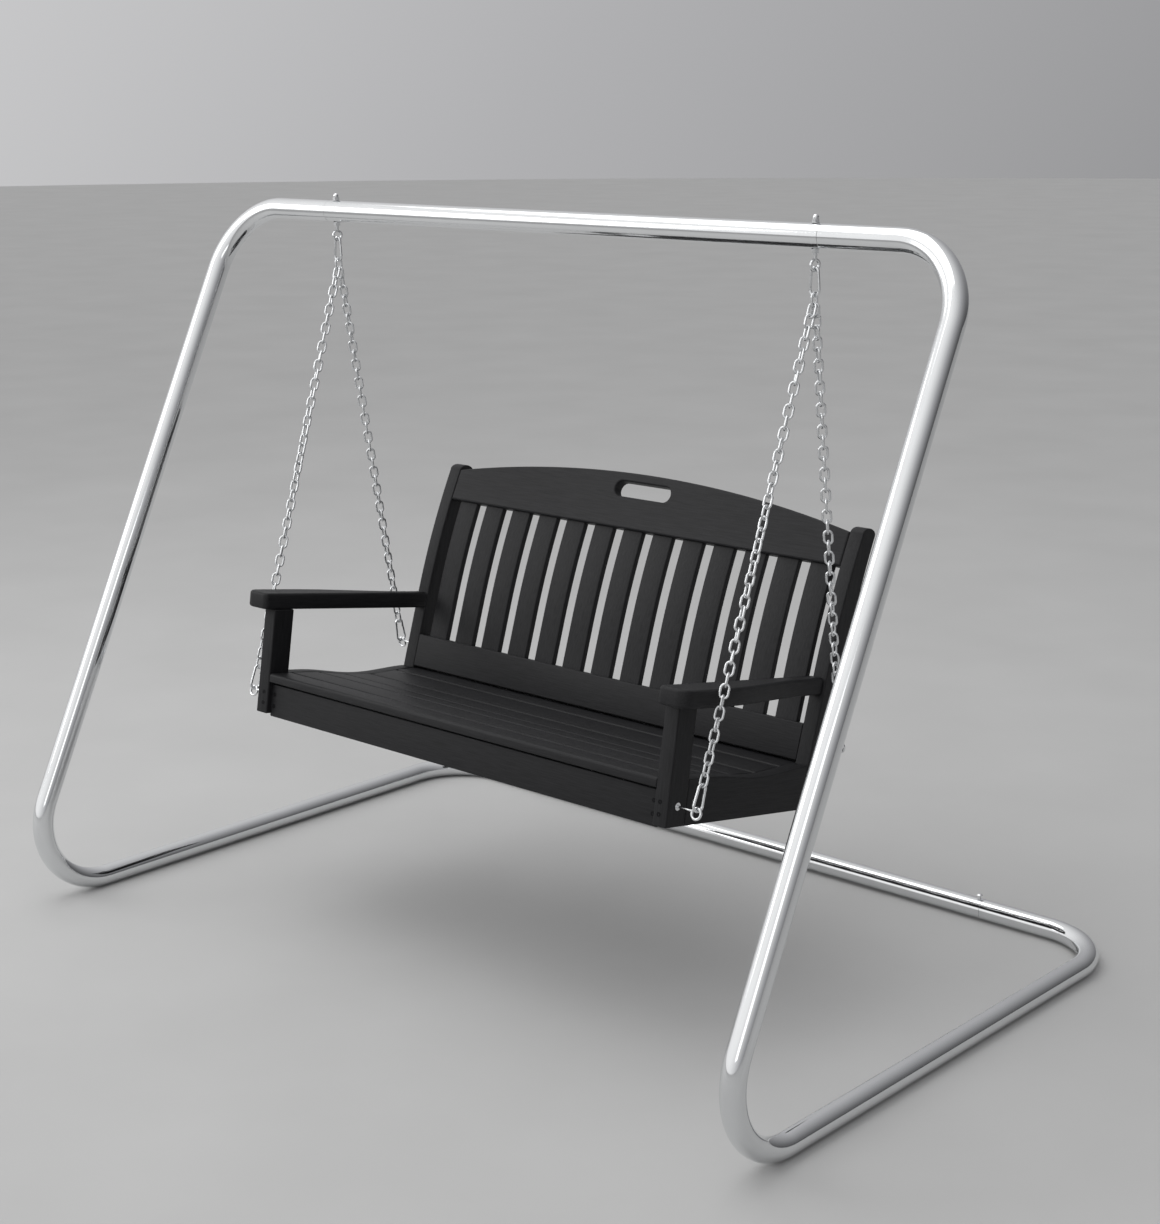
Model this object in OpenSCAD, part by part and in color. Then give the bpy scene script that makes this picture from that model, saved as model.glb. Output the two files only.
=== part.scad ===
// Two-seat porch swing: a slatted bench on four chains, hung from a free-standing bent-tube stand.
// Millimetres, +Z up, floor at Z = 0. The bench faces -Y and the stand is centred on X = 0.

/* [Stand] */
// Overall width of the stand, outside to outside
stand_w = 2127; // [1900:1:2600]
// Height of the top bar's upper side above the floor
stand_h = 1619; // [1500:1:1900]
// Distance back from the top bar to the rear floor bar, axis to axis
rear_reach = 680; // [560:1:900]
// Forward rake of the legs from the vertical, in degrees
leg_rake = 26.3; // [18:0.1:32]
// Outer diameter of the tube
tube_od = 48.3; // [38:0.1:60.3]
// Wall of the tube
tube_wall = 2.6; // [1.6:0.1:4]
// Centreline radius of every bend
bend_r = 160; // [110:1:220]
// Distance from each hanging eye out to the seam between a straight bar and a side frame
seam_out = 19; // [16:1:60]
// Length of the sleeve hidden inside each seam
sleeve_l = 170; // [90:1:240]

/* [Hanging] */
// Distance by which each hanging eye is wider than the bench's side
hang_out = 66; // [60:0.5:80]
// Drop from the top bar's axis to the centre of the hanging eye's ring
eye_drop = 55; // [50:0.5:75]
// Outer diameter of the hanging eye's ring
ring_od = 27; // [26:0.5:34]
// Overall length of a snap hook
snap_l = 60; // [56:1:80]
// Overall width of a snap hook
snap_w = 27; // [26:0.5:36]
// Wire of a snap hook
snap_wire = 6; // [5:0.1:6.4]
// Wire of a chain link
link_wire = 5; // [4:0.01:5.2]
// Outer width of a chain link
link_w = 21.5; // [20.5:0.1:26]
// Aimed inside length of a chain link
link_pitch = 22; // [20:0.5:30]

/* [Bench] */
// Overall width of the bench across its posts
bench_w = 1236; // [1000:1:1490]
// Height of the front bottom edge above the floor
bench_z = 486.6; // [420:0.5:560]
// Distance of the front bottom edge in front of the hanging line
bench_front = 362; // [340:0.5:390]
// Angle by which the hung bench leans back, in degrees
bench_tilt = 10; // [4:0.1:14]
// Thickness of the posts, side boards and rails
board_t = 35; // [28:0.5:42]
// Front-to-back size of a front post
front_post_d = 57; // [45:0.5:75]
// Front-to-back size of a back post at its foot
back_post_d = 56; // [45:0.5:75]
// Height of a front post, which is the underside of the arm
arm_under = 241; // [200:1:280]
// Height of the back posts' tops
back_h = 594; // [540:1:680]

/* [Seat] */
// Height of the seat's front edge above the posts' feet
seat_h = 94; // [80:0.5:130]
// Depth of the dip in the seat
seat_dip = 12.5; // [4:0.5:22]
// Width of the nosing slat
nosing_w = 62; // [50:0.5:80]
// Distance from the front to the end of the last seat slat
seat_end = 478; // [440:1:520]
// Gap between seat slats
seat_gap = 4.5; // [3:0.5:12]
// Thickness of a seat slat
seat_slat_t = 20; // [16:0.5:26]

/* [Back] */
// Width of a back slat
back_slat_w = 58; // [40:0.5:66]
// Thickness of a back slat
back_slat_t = 15; // [12:0.5:20]
// Height of the lower rail's underside
low_rail_z = 98; // [97:0.5:140]
// Height of the lower rail
low_rail_h = 79; // [50:0.5:100]
// Height of the crest rail's straight underside
crest_z = 510; // [480:0.5:540]
// Height of the crest rail's ends
crest_end_h = 76; // [50:0.5:80]
// Rise of the crest rail's arched top over its ends
crest_rise = 56; // [20:0.5:90]
// Thickness of the crest rail
crest_t = 27; // [25.5:0.5:35]
// Length of the hand slot in the crest rail
slot_l = 164; // [110:1:220]
// Height of the hand slot
slot_h = 36; // [25:0.5:45]

/* [Arms] */
// Width of an arm at its widest
arm_w = 72; // [56:0.5:74]
// Width of an arm where it meets the back post
arm_rear_w = 30; // [24:0.5:35]
// Overhang of an arm in front of the front post
arm_front = 30; // [10:0.5:40]
// Thickness of an arm
arm_t = 37; // [24:0.5:45]

/* [Hidden] */

// Number of seat slats behind the nosing slat, and number of back slats
seat_slats = 5;
back_slats = 13;
// Fineness of curves
fine = 96;
// Gap left between wires that hang in one another
wire_play = 0.35;
// Wall lost on each side of a bend
bend_thin = 0.1;
// Length by which a straight runs on over the end of a bend
bend_lap = 1;
// Gap between the ends of two tubes at a seam
seam_gap = 0.4;
// Radial gap of a sleeve inside the tube
sleeve_fit = 0.08;
// Radial gap of a bolt in its drilled hole
bolt_fit = 0.3;
// Gap between boards that are screwed together
board_gap = 0.2;
// Radial gap of a snap hook's gate on its rivet
rivet_fit = 0.06;

// Stand, worked out
tube_r = tube_od / 2;
bore_r = tube_r - tube_wall;
leg_x = stand_w / 2 - tube_r;
hanger_x = bench_w / 2 + hang_out;
seam_x = hanger_x + seam_out;
top_z = stand_h - tube_r;
floor_z = tube_r;
foot_y = -(top_z - floor_z) * tan(leg_rake);
leg_len = (top_z - floor_z) / cos(leg_rake);
// Angle between leg and runner, and how far each bend eats into its straights
foot_angle = 90 - leg_rake;
foot_trim = bend_r / tan(foot_angle / 2);
front_reach = -foot_y - foot_trim + bend_r + tube_r;
// The stand's own shift, so that its depth is centred on Y = 0
bar_y = (front_reach - rear_reach - tube_r) / 2;
sleeve_r = bore_r - sleeve_fit;
sleeve_wall = 3;

// Fasteners of the stand
eye_bolt_r = 4;
eye_wire = 6.2;
ring_mid_r = (ring_od - eye_wire) / 2;
// The eyes are tightened a little short of square to the bar
eye_turn = 78;
nut_af = 13;
nut_h = 6.5;
washer_r = 8;
washer_t = 1.6;
cap_h = 15;
bolt_inset = 13;
rear_bolt_r = 3;
rear_bolt_up = 8;

// Hanging chain of wires below each hanging eye
snap_r = snap_wire / 2;
link_r = link_wire / 2;
ring_z = top_z - eye_drop;
wide_r = snap_w / 2 - snap_r;
narrow_r = link_r * 2 + 3;
snap_mid = snap_l - wide_r - narrow_r - snap_wire;
snap_span = snap_l - snap_wire;
pivot_z = ring_z - ring_mid_r + eye_wire / 2 + snap_r + wire_play;
upper_low_z = pivot_z - snap_span;
link_end_r = (link_w - link_wire) / 2;
join_top_z = upper_low_z + snap_r + link_r + wire_play;
join_len = link_pitch + link_wire;
join_low_z = join_top_z - join_len;
fork_y = link_r + wire_play * 0.7;
fork_sit = link_end_r - link_wire - wire_play;
fork_z = join_low_z + link_end_r - sqrt(max(fork_sit * fork_sit - fork_y * fork_y, 0.01));

// Bench, worked out
half_w = bench_w / 2;
inner_x = half_w - board_t;
apron_back = 12;
apron_t = 19;
apron_low = -6;
// Gap between the apron's top and the nosing slat
apron_drop = 5;
screw_r = 4.6;
eye_shank_r = 3;
// The straight shank is a touch thinner than the ring's wire
shank_r = eye_shank_r - 0.1;
seat_eye_od = 28;
seat_ring_r = (seat_eye_od - 2 * eye_shank_r) / 2;
seat_eye_out = 48;
seat_eye_in = 29;
// The shank of a seat eye leaves its ring a little above the ring's centre
seat_eye_lift = 4;
front_eye_z = 38;
rear_eye_z = 142;

// Front face of the back posts: leaning at the foot, then curving back with height
back_foot_y = 439;
back_lean = 0.14;
back_bend_z = 280;
back_bend = 0.000296;
function back_y(z) = back_foot_y + back_lean * z + back_bend * pow(max(0, z - back_bend_z), 2);
function back_slope(z) = back_lean + 2 * back_bend * max(0, z - back_bend_z);

// Top of the seat from front to back
dip_from = 110;
dip_len = 360;
function in_dip(y) = min(max((y - dip_from) / dip_len, 0), 1);
function seat_z(y) = seat_h - seat_dip * pow(sin(180 * in_dip(y)), 2);
slat_run = (seat_end - nosing_w) / seat_slats;
function slat_a(i) = i == 0 ? 0 : nosing_w + slat_run * (i - 1) + seat_gap;
function slat_b(i) = i == 0 ? nosing_w : nosing_w + slat_run * i;

// Space beside the first and last back slats
back_end_gap = 24;
slat_pitch = (2 * (inner_x - back_end_gap) - back_slat_w) / (back_slats - 1);
mortise = 12;
// Set-back of the back slats behind the front of their rails
slat_back = 10;

// Direction of a chain as the two turns that carry +Z onto it
function unit(v) = v / norm(v);
function turn_y(d) = asin(d[0]);
function turn_x(d) = atan2(-d[1], d[2]);
module aim(d) {
  rotate([turn_x(d), 0, 0])
    rotate([0, turn_y(d), 0])
      children();
}

// A point of the bench, from bench coordinates to the part's frame
function hung(p) = [p[0], bar_y - bench_front + p[1] * cos(bench_tilt) + p[2] * sin(bench_tilt),
                    bench_z - p[1] * sin(bench_tilt) + p[2] * cos(bench_tilt)];

front_ring = [half_w + seat_eye_out, front_post_d / 2, front_eye_z];
rear_ring = [half_w + seat_eye_out, back_y(rear_eye_z) + back_post_d / 2, rear_eye_z];
fork_front = [hanger_x, bar_y - fork_y, fork_z];
fork_rear = [hanger_x, bar_y + fork_y, fork_z];
dir_front = unit(fork_front - hung(front_ring));
dir_rear = unit(fork_rear - hung(rear_ring));
// From a seat eye's centre to the lower snap's two wires and the last link's wire
snap_low = seat_ring_r - eye_shank_r - snap_r - wire_play;
snap_high = snap_low + snap_span;
last_link = snap_high - snap_r - link_r - wire_play;

module hung_bench() {
  translate([0, bar_y - bench_front, bench_z])
    rotate([-bench_tilt, 0, 0])
      children();
}

// ---- Stand ----

module tube_section(thin) {
  difference() {
    circle(r = tube_r - thin, $fn = fine);
    circle(r = bore_r + thin, $fn = fine);
  }
}

module tube_straight(len, before = 0, after = 0) {
  translate([0, 0, -before])
    linear_extrude(height = before + len + after)
      tube_section(0);
}

// A bend that starts at the origin along +Z and turns towards +X
module tube_bend(angle) {
  translate([bend_r, 0, 0])
    rotate([90, 0, 0])
      rotate_extrude(angle = -angle, start = 180, $fn = fine)
        translate([bend_r, 0])
          tube_section(bend_thin);
}

// Carries its children to the end of a bend
module after_bend(angle) {
  translate([bend_r * (1 - cos(angle)), 0, bend_r * sin(angle)])
    rotate([0, angle, 0])
      children();
}

// One side frame on the +X side, from its top seam to its rear seam
module side_frame() {
  stub = leg_x - bend_r - seam_x - seam_gap / 2;
  leg = leg_len - bend_r - foot_trim;
  runner = rear_reach - foot_y - foot_trim - bend_r;
  translate([seam_x + seam_gap / 2, bar_y, top_z])
    rotate([-leg_rake, 0, 0])
      rotate([0, 90, 0]) {
        tube_straight(stub, 0, bend_lap);
        translate([0, 0, stub]) {
          tube_bend(90);
          after_bend(90) {
            tube_straight(leg, bend_lap, bend_lap);
            translate([0, 0, leg])
              rotate([0, 0, 90]) {
                tube_bend(180 - foot_angle);
                after_bend(180 - foot_angle) {
                  tube_straight(runner, bend_lap, bend_lap);
                  translate([0, 0, runner])
                    rotate([0, 0, -90]) {
                      tube_bend(90);
                      after_bend(90)
                        tube_straight(stub, bend_lap, 0);
                    }
                }
              }
          }
        }
      }
}

module straight_bar() {
  difference() {
    translate([-seam_x + seam_gap / 2, 0, 0])
      rotate([0, 90, 0])
        tube_straight(2 * seam_x - seam_gap);
    children();
  }
}

module top_bar() {
  color("silver")
    translate([0, bar_y, top_z])
      straight_bar()
        for (s = [-1, 1])
          translate([s * hanger_x, 0, -tube_od])
            cylinder(r = eye_bolt_r + bolt_fit, h = 2 * tube_od, $fn = fine);
}

module rear_bar() {
  color("silver")
    translate([0, bar_y + rear_reach, floor_z])
      straight_bar()
        for (s = [-1, 1])
          translate([s * (seam_x - bolt_inset), 0, 0])
            cylinder(r = rear_bolt_r + bolt_fit, h = tube_od, $fn = fine);
}

module right_frame() {
  color("silver") side_frame();
}

module left_frame() {
  color("silver") mirror([1, 0, 0]) side_frame();
}

module sleeve() {
  rotate([0, 90, 0])
    difference() {
      cylinder(r = sleeve_r, h = sleeve_l, center = true, $fn = fine);
      cylinder(r = sleeve_r - sleeve_wall, h = sleeve_l + 2, center = true, $fn = fine);
    }
}

module joint_sleeves() {
  color("gray")
    for (s = [-1, 1]) {
      difference() {
        translate([s * seam_x, bar_y, top_z])
          sleeve();
        translate([s * hanger_x, bar_y, top_z - tube_od])
          cylinder(r = eye_bolt_r + bolt_fit, h = 2 * tube_od, $fn = fine);
      }
      difference() {
        translate([s * seam_x, bar_y + rear_reach, floor_z])
          sleeve();
        translate([s * (seam_x - bolt_inset), bar_y + rear_reach, floor_z])
          cylinder(r = rear_bolt_r + 0.05, h = tube_od, $fn = fine);
      }
    }
}

module rear_bolts() {
  color("silver")
    for (s = [-1, 1])
      translate([s * (seam_x - bolt_inset), bar_y + rear_reach, tube_od]) {
        translate([0, 0, -tube_wall - sleeve_wall - 6])
          cylinder(r = rear_bolt_r, h = tube_wall + sleeve_wall + 6 + rear_bolt_up, $fn = fine);
        translate([0, 0, rear_bolt_up])
          intersection() {
            cylinder(r = 7.4, h = 5, $fn = fine);
            translate([0, 0, -5.5])
              sphere(r = 9.6, $fn = fine);
          }
      }
}

// ---- Hanging eyes ----

module hex(af, h) {
  cylinder(r = af / 2 / cos(30), h = h, $fn = 6);
}

// Centre of the hanging eye's ring is at the origin and its shank runs up +Z
module hanger_eye() {
  shank = eye_drop + tube_r + washer_t + cap_h - 5;
  rotate([0, 0, eye_turn])
    rotate([90, 0, 0])
      rotate_extrude($fn = fine)
        translate([ring_mid_r, 0])
          circle(r = eye_wire / 2, $fn = 48);
  translate([0, 0, ring_mid_r])
    cylinder(r = eye_bolt_r, h = shank - ring_mid_r, $fn = fine);
}

module each_hanger() {
  for (s = [-1, 1])
    translate([s * hanger_x, bar_y, ring_z])
      children();
}

module hanger_eyes() {
  color("silver") each_hanger() hanger_eye();
}

module hanger_cap_nuts() {
  up = eye_drop + tube_r + washer_t;
  color("silver")
    each_hanger()
      translate([0, 0, up])
        difference() {
          union() {
            hex(nut_af, 6);
            translate([0, 0, 6]) {
              cylinder(r = 6, h = 3, $fn = fine);
              translate([0, 0, 3])
                intersection() {
                  sphere(r = 6, $fn = fine);
                  cylinder(r = 7, h = 7, $fn = fine);
                }
            }
          }
          translate([0, 0, -1])
            cylinder(r = eye_bolt_r + 0.05, h = cap_h - 3, $fn = fine);
        }
}

module hanger_nuts() {
  down = eye_drop - tube_r - washer_t - nut_h;
  color("silver")
    each_hanger()
      translate([0, 0, down])
        difference() {
          hex(nut_af, nut_h);
          translate([0, 0, -1])
            cylinder(r = eye_bolt_r + 0.05, h = nut_h + 2, $fn = fine);
        }
}

module washer(r, hole_r) {
  difference() {
    cylinder(r = r, h = washer_t, $fn = fine);
    translate([0, 0, -1])
      cylinder(r = hole_r, h = washer_t + 2, $fn = fine);
  }
}

module hanger_washers() {
  color("silver")
    each_hanger()
      for (z = [eye_drop + tube_r, eye_drop - tube_r - washer_t])
        translate([0, 0, z])
          washer(washer_r, eye_bolt_r + 0.2);
}

// ---- Chains and snap hooks ----

// A half ring of wire in the XZ plane, bulging towards +Z
module half_ring(mid_r, wire_r) {
  rotate([90, 0, 0])
    rotate_extrude(angle = 180, $fn = fine)
      translate([mid_r, 0])
        circle(r = wire_r, $fn = 36);
}

// One link in the XZ plane, its lower wire's centre at the origin and its upper one at len
module link(len) {
  legs = len - 2 * link_end_r;
  translate([0, 0, link_end_r]) {
    mirror([0, 0, 1])
      half_ring(link_end_r, link_r);
    for (s = [-1, 1])
      translate([s * link_end_r, 0, 0])
        cylinder(r = link_r, h = legs, $fn = 36);
    translate([0, 0, legs])
      half_ring(link_end_r, link_r);
  }
}

// A taut chain from a lower snap up to the fork; links alternate by a quarter turn and twist a little.
// The second link from the top turns further, so that front and rear chains clear each other.
top_twist = 25;
module chain(low, high, d) {
  run = norm(high - low) - last_link;
  step = wire_play + link_wire;
  n = round((run - step) / link_pitch);
  inner = (run - step) / n + wire_play;
  twist = n % 2 == 1 ? 180 : 90;
  even = (twist - top_twist) / max(n - 2, 1);
  translate(low)
    aim(d)
      for (i = [0 : n - 1])
        translate([0, 0, last_link + i * (inner - wire_play)])
          rotate([0, 0, i * 90 + (i == n - 1 ? twist : i * even)])
            link(inner + link_wire);
}

module right_front_chain() {
  color("lightgray") chain(hung(front_ring), fork_front, dir_front);
}

module right_rear_chain() {
  color("lightgray") chain(hung(rear_ring), fork_rear, dir_rear);
}

module left_front_chain() {
  color("lightgray") mirror([1, 0, 0]) chain(hung(front_ring), fork_front, dir_front);
}

module left_rear_chain() {
  color("lightgray") mirror([1, 0, 0]) chain(hung(rear_ring), fork_rear, dir_rear);
}

module joining_links() {
  color("lightgray")
    for (s = [-1, 1])
      translate([s * hanger_x, bar_y, join_low_z])
        rotate([0, 0, 90])
          link(join_len);
}

// A snap hook in the XZ plane: wide end's wire centre at the origin, narrow end's wire at snap_span
flank = asin((wide_r - narrow_r) / snap_mid);
flank_len = snap_mid * cos(flank);
// The straight flanks are drawn a hair thinner than the bends
flank_r = snap_r - 0.04;
gate_a = 4.5;
gate_b = flank_len - 3.2;
gate_r = snap_r - 0.2;
// Rounding of the gate's end about its rivet
gate_round = gate_r + 0.1;
gate_pin_s = gate_a + gate_round;
tab_t = 2.2;
tab_r = snap_r - 0.25;
slot_t = 2.9;
rivet_r = 1;

// Carries children to the gate side's flank: +Z runs down it from the narrow end
module at_flank() {
  translate([0, 0, wide_r + snap_mid])
    rotate([0, flank, 0])
      translate([-narrow_r, 0, 0])
        rotate([0, 180, 0])
          children();
}

module arc_wire(mid_r, from, sweep) {
  rotate([90, 0, 0])
    rotate_extrude(angle = sweep, start = from, $fn = fine)
      translate([mid_r, 0])
        circle(r = snap_r, $fn = 36);
}

module snap_body() {
  translate([0, 0, wide_r])
    arc_wire(wide_r, 180 - flank, 180 + 2 * flank);
  translate([0, 0, wide_r + snap_mid])
    arc_wire(narrow_r, flank, 180 - 2 * flank);
  mirror([1, 0, 0])
    at_flank()
      cylinder(r = flank_r, h = flank_len, $fn = 36);
  at_flank() {
    cylinder(r = flank_r, h = gate_a - 0.4, $fn = 36);
    intersection() {
      translate([0, 0, 1])
        cylinder(r = tab_r, h = gate_pin_s + 0.6, $fn = 36);
      translate([-snap_wire, -tab_t / 2, 0.5])
        cube([2 * snap_wire, tab_t, gate_pin_s + 3]);
    }
    translate([0, 0, gate_pin_s])
      rotate([90, 0, 0])
        cylinder(r = rivet_r, h = snap_wire - 0.6, center = true, $fn = 36);
    translate([0, 0, gate_b + 0.4])
      cylinder(r = flank_r, h = flank_len - gate_b - 0.4, $fn = 36);
    intersection() {
      translate([0, 0, gate_b - 3])
        cylinder(r = tab_r, h = flank_len - gate_b + 2, $fn = 36);
      translate([-snap_wire, -tab_t / 2, gate_b - 4])
        cube([2 * snap_wire, tab_t, flank_len - gate_b + 4]);
    }
  }
}

module snap_gate() {
  at_flank()
    difference() {
      intersection() {
        translate([0, 0, gate_a - 1])
          cylinder(r = gate_r, h = gate_b - gate_a + 1, $fn = 36);
        union() {
          translate([0, 0, gate_pin_s])
            rotate([90, 0, 0])
              cylinder(r = gate_round, h = 2 * snap_wire, center = true, $fn = 48);
          translate([-snap_wire, -snap_wire, gate_pin_s])
            cube([2 * snap_wire, 2 * snap_wire, gate_b]);
        }
      }
      translate([-snap_wire, -slot_t / 2, gate_a - 2])
        cube([2 * snap_wire, slot_t, 2 + gate_pin_s - gate_a + 3.6]);
      translate([-snap_wire, -slot_t / 2, gate_b - 3.8])
        cube([2 * snap_wire, slot_t, 5]);
      translate([0, 0, gate_pin_s])
        rotate([90, 0, 0])
          cylinder(r = rivet_r + rivet_fit, h = 3 * snap_wire, center = true, $fn = 36);
    }
}

module at_upper_snap() {
  translate([hanger_x, bar_y, upper_low_z])
    children();
}

// Turn of a lower snap hook about its chain, on the +X side and on the -X side
snap_turns = [-105, -75];
module at_lower_snap(ring, d, m) {
  mirror([m, 0, 0])
    translate(hung(ring))
      aim(d)
        translate([0, 0, snap_low])
          rotate([0, 0, snap_turns[m]])
            children();
}

module upper_snaps() {
  color("silver") {
    at_upper_snap() snap_body();
    mirror([1, 0, 0]) at_upper_snap() snap_body();
  }
}

module lower_snaps() {
  color("silver")
    for (m = [0, 1]) {
      at_lower_snap(front_ring, dir_front, m) snap_body();
      at_lower_snap(rear_ring, dir_rear, m) snap_body();
    }
}

module right_upper_gate() {
  color("silver") at_upper_snap() snap_gate();
}

module left_upper_gate() {
  color("silver") mirror([1, 0, 0]) at_upper_snap() snap_gate();
}

module right_front_gate() {
  color("silver") at_lower_snap(front_ring, dir_front, 0) snap_gate();
}

module right_rear_gate() {
  color("silver") at_lower_snap(rear_ring, dir_rear, 0) snap_gate();
}

module left_front_gate() {
  color("silver") at_lower_snap(front_ring, dir_front, 1) snap_gate();
}

module left_rear_gate() {
  color("silver") at_lower_snap(rear_ring, dir_rear, 1) snap_gate();
}

// A seat eye on the +X side: ring in the plane of the shank and its chain
module seat_eye(ring, d) {
  translate(hung(ring))
    aim(d)
      rotate([90, 0, 0])
        rotate_extrude($fn = fine)
          translate([seat_ring_r, 0])
            circle(r = eye_shank_r, $fn = 48);
  hung_bench()
    translate([half_w - seat_eye_in, ring[1], ring[2] + seat_eye_lift])
      rotate([0, 90, 0])
        cylinder(r = shank_r, h = seat_eye_in + seat_eye_out - seat_ring_r + 0.8, $fn = fine);
}

module seat_eyes() {
  color("silver")
    for (m = [0, 1])
      mirror([m, 0, 0]) {
        seat_eye(front_ring, dir_front);
        seat_eye(rear_ring, dir_rear);
      }
}

module seat_eye_washers() {
  color("silver")
    for (m = [0, 1])
      mirror([m, 0, 0])
        hung_bench()
          for (p = [front_ring, rear_ring])
            translate([half_w, p[1], p[2] + seat_eye_lift])
              rotate([0, 90, 0])
                washer(washer_r, shank_r + 0.3);
}

// ---- Bench ----

// Pilot hole of a seat eye, along X into the +X side
module eye_pilot(p) {
  translate([half_w - seat_eye_in - 1, p[1], p[2] + seat_eye_lift])
    rotate([0, 90, 0])
      cylinder(r = shank_r + 0.05, h = seat_eye_in + 2, $fn = fine);
}

module both(m) {
  mirror([m, 0, 0])
    hung_bench()
      children();
}

module front_post() {
  difference() {
    translate([inner_x, 0, 0])
      cube([board_t, front_post_d, arm_under]);
    eye_pilot(front_ring);
    post_screw_holes();
  }
}

// Outline of a board in the YZ plane, laid along X from inner_x by its thickness
module profile(x0, w) {
  translate([x0, 0, 0])
    rotate([90, 0, 90])
      linear_extrude(height = w)
        children();
}

back_steps = 28;
post_round = 14;
function post_front(i) = let(z = (back_h - post_round) * i / back_steps) [back_y(z), z];
function post_depth(z) = back_post_d - 10 * max(0, z - back_bend_z) / (back_h - back_bend_z);
function post_rear(i) = let(z = (back_h - post_round) * i / back_steps)
  [back_y(z) + post_depth(z), z];
function post_cap(a) = let(z = back_h - post_round, y = back_y(z), d = post_depth(z) / 2)
  [y + d - d * cos(a), z + post_round * sin(a)];

module back_post() {
  difference() {
    profile(inner_x, board_t)
      polygon(concat([for (i = [0 : back_steps]) post_front(i)],
                     [for (a = [10 : 10 : 170]) post_cap(a)],
                     [for (i = [back_steps : -1 : 0]) post_rear(i)]));
    eye_pilot(rear_ring);
  }
}

module left_front_post() {
  color("dimgray") both(1) front_post();
}

module right_front_post() {
  color("dimgray") both(0) front_post();
}

module left_back_post() {
  color("dimgray") both(1) back_post();
}

module right_back_post() {
  color("dimgray") both(0) back_post();
}

// Side board between the posts: its top follows the dip of the seat and hides the slats' ends
dip_steps = 24;
module side_board() {
  front = front_post_d + board_gap;
  rear = back_y(seat_h) - board_gap;
  profile(inner_x, board_t)
    polygon(concat([[front, 0]],
                   [for (i = [0 : dip_steps]) let(y = front + (rear - front) * i / dip_steps)
                     [y, seat_z(y)]],
                   [[back_y(0) - board_gap, 0]]));
}

// Area under the seat slats, down to the boards' feet
module under_seat() {
  polygon(concat([[0, 0]],
                 [for (i = [0 : seat_slats], y = [slat_a(i), slat_b(i)])
                   [y, seat_z(y) - seat_slat_t - board_gap]],
                 [[seat_end, 0]]));
}

module left_side_board() {
  color("dimgray") both(1) side_board();
}

module right_side_board() {
  color("dimgray") both(0) side_board();
}

// A board under the middle of the seat
module seat_support() {
  low = 22;
  front = apron_back + apron_t + board_gap;
  color("dimgray")
    hung_bench()
      profile(-board_t / 2, board_t)
        intersection() {
          translate([front, low])
            square([rail_y - board_gap - front, seat_h]);
          under_seat();
        }
}

// A cleat along each side board, under the slats' ends
cleat_t = 22;
module seat_cleats() {
  low = 30;
  front = apron_back + apron_t + board_gap;
  color("dimgray")
    for (m = [0, 1])
      both(m)
        profile(inner_x - board_gap - cleat_t, cleat_t)
          intersection() {
            translate([front, low])
              square([rail_y - board_gap - front, seat_h]);
            under_seat();
          }
}

// A rail that ties the side boards together under the last slat
rail_y = 425;
rail_t = 35;
module rear_seat_rail() {
  low = 22;
  color("dimgray")
    hung_bench()
      profile(-inner_x + board_gap, 2 * inner_x - 2 * board_gap)
        intersection() {
          translate([rail_y, low])
            square([rail_t, seat_h]);
          under_seat();
        }
}

module front_apron() {
  color("dimgray")
    hung_bench()
      difference() {
        translate([-inner_x + board_gap, apron_back, apron_low])
          cube([2 * (inner_x - board_gap), apron_t,
                seat_z(0) - seat_slat_t - apron_drop - apron_low]);
        for (m = [0, 1])
          mirror([m, 0, 0])
            apron_screw_holes();
      }
}

// A seat slat as a flat board between the side boards, its top joining two heights of the dip
module seat_slat(i) {
  a = [slat_a(i), seat_z(slat_a(i))];
  b = [slat_b(i), seat_z(slat_b(i))];
  half_len = inner_x - board_gap;
  color("dimgray")
    hung_bench()
      profile(-half_len, 2 * half_len)
        if (i == 0)
          nosing_section();
        else
          polygon([a, b, b - [0, seat_slat_t], a - [0, seat_slat_t]]);
}

module nosing_section() {
  r = 6;
  top = seat_z(0);
  difference() {
    translate([0, top - seat_slat_t])
      square([nosing_w, seat_slat_t]);
    difference() {
      translate([-1, top - r])
        square([r + 1, r + 1]);
      translate([r, top - r])
        circle(r = r, $fn = 48);
    }
  }
}

module seat_slat_1() { seat_slat(0); }
module seat_slat_2() { seat_slat(1); }
module seat_slat_3() { seat_slat(2); }
module seat_slat_4() { seat_slat(3); }
module seat_slat_5() { seat_slat(4); }
module seat_slat_6() { seat_slat(5); }

// ---- Back ----

// A flat rail leaning like the back at height z0, its front face on the posts' curve
module lean_at(z0) {
  translate([0, back_y(z0), z0])
    rotate([-atan(back_slope(z0)), 0, 0])
      children();
}

rail_half = inner_x - board_gap;
crest_lean_z = crest_z + 35;
crest_low = -(crest_lean_z - crest_z) / cos(atan(back_slope(crest_lean_z)));
crest_r = (pow(rail_half, 2) + pow(crest_rise, 2)) / (2 * crest_rise);

module crest_rail() {
  color("dimgray")
    hung_bench()
      difference() {
        lean_at(crest_lean_z)
          translate([0, crest_t, 0])
            rotate([90, 0, 0])
              linear_extrude(height = crest_t)
                difference() {
                  intersection() {
                    translate([-rail_half, crest_low])
                      square([2 * rail_half, crest_end_h + crest_rise + 1]);
                    translate([0, crest_low + crest_end_h + crest_rise - crest_r])
                      circle(r = crest_r, $fn = 720);
                  }
                  hand_slot();
                }
        for (i = [0 : back_slats - 1])
          back_slat_envelope(i);
      }
}

module hand_slot() {
  z = crest_low + (crest_end_h + crest_rise) * 0.7;
  half = (slot_l - slot_h) / 2;
  for (s = [-1, 1])
    translate([s * half, z])
      circle(r = slot_h / 2, $fn = fine);
  translate([-half, z - slot_h / 2])
    square([2 * half, slot_h]);
}

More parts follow.
